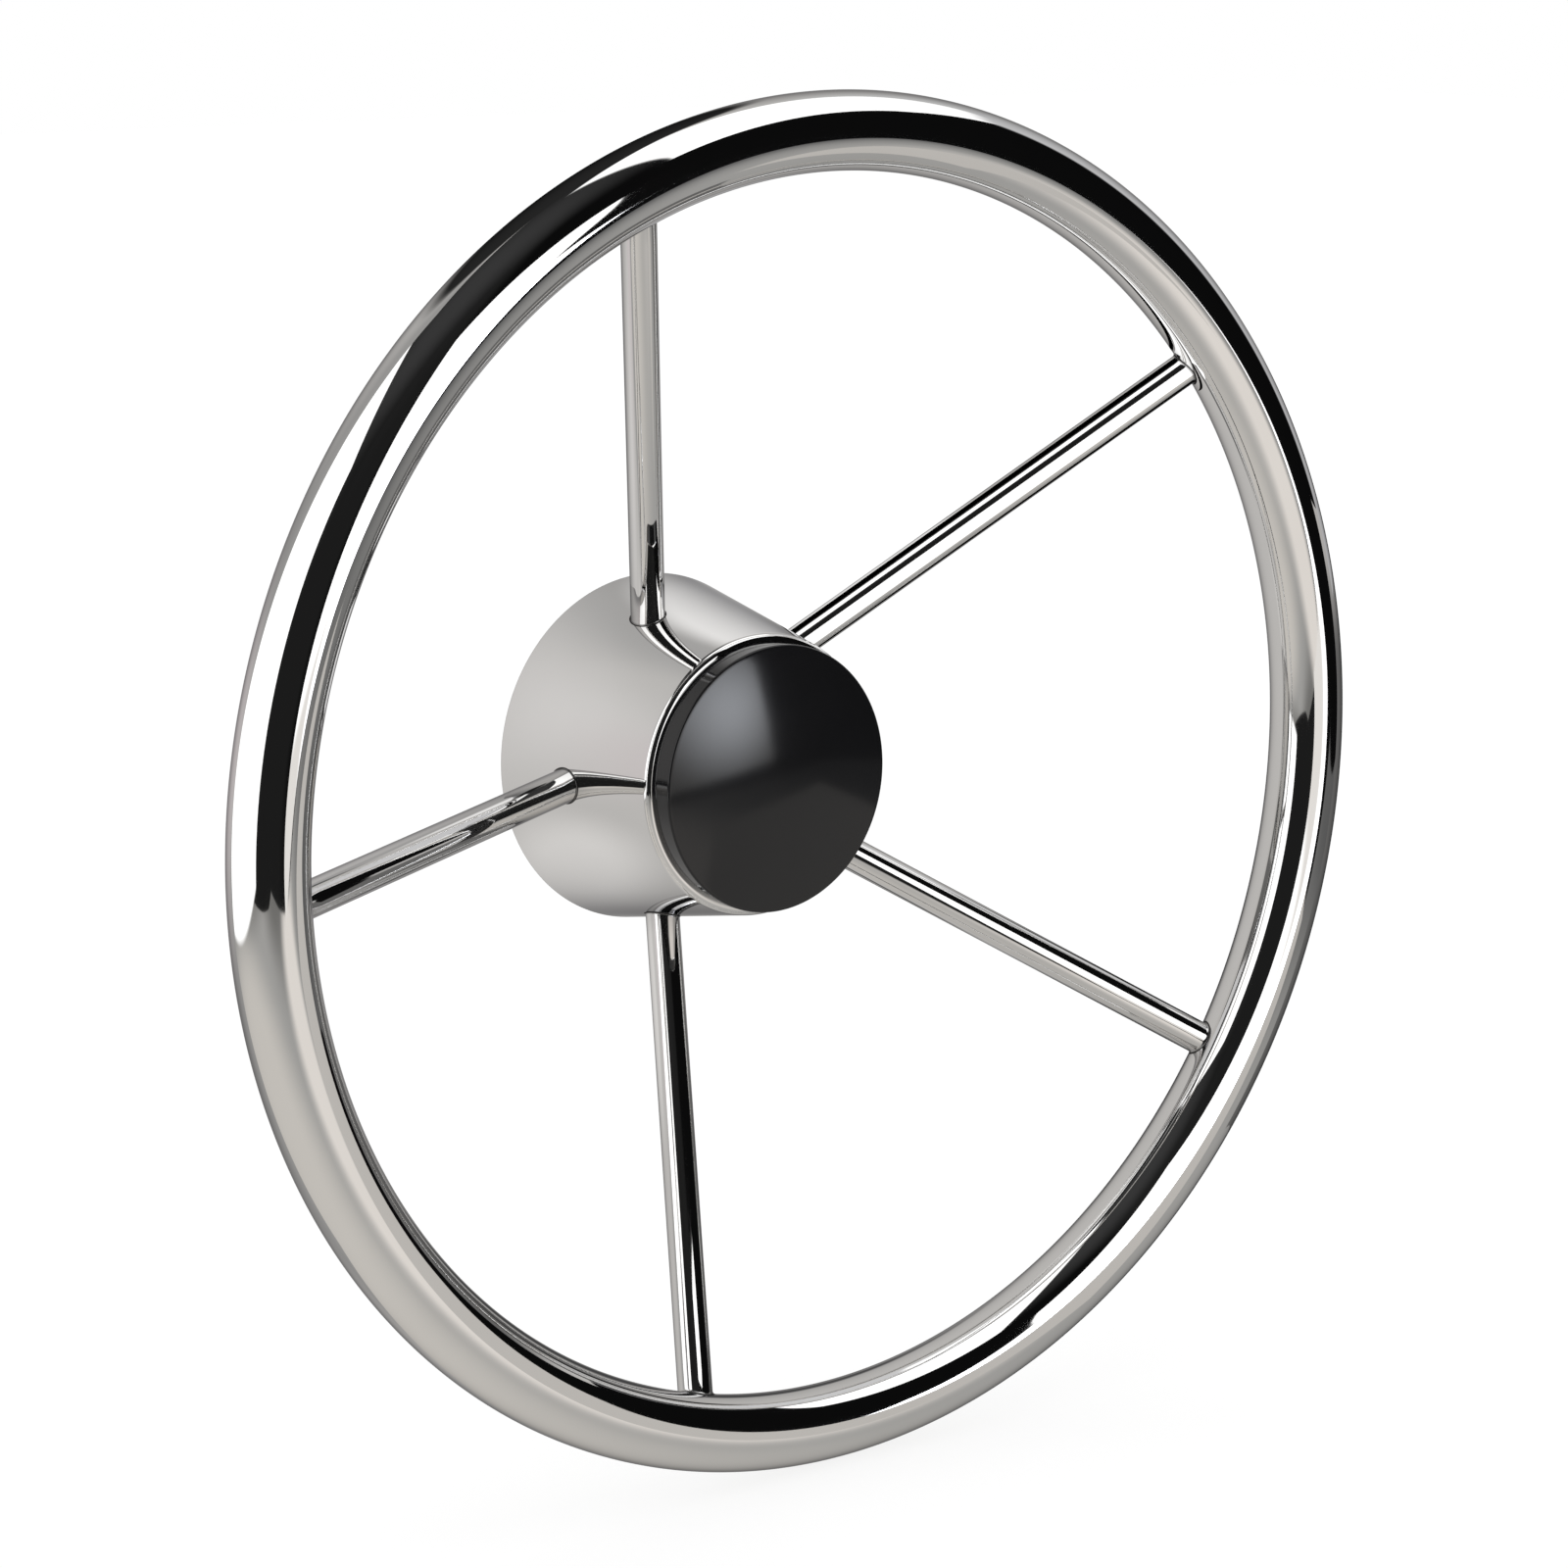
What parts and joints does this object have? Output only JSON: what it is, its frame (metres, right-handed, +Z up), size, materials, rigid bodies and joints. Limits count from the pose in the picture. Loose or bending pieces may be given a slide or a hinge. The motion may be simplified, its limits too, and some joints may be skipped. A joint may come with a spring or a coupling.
{
  "type": "boat steering wheel",
  "caption": "Dished boat steering wheel: round tube rim on straight rods that enter a conical hub, with a tapered keyed bore behind a domed snap-in cap.",
  "frame": {"origin": "centre of the hub's back face, at the large end of the tapered bore", "axes": "+Y along the wheel's axis, out of the hub's back towards the steering shaft; the rim and the centre cap face -Y; +Z up, with the first spoke turned 21 degrees from +Z towards -X"},
  "size_m": [0.394, 0.1023, 0.3939],
  "materials": {
    "polished_steel": "polished",
    "machined_steel": "satin",
    "black_plastic": "satin"
  },
  "bodies": {
    "root": {"rim": "polished_steel", "spoke_1": "polished_steel", "spoke_2": "polished_steel", "spoke_3": "polished_steel", "spoke_4": "polished_steel", "spoke_5": "polished_steel", "hub_shell": "polished_steel", "hub_back_plate": "machined_steel", "hub_boss": "machined_steel", "centre_cap": "black_plastic"}
  },
  "joints": []
}
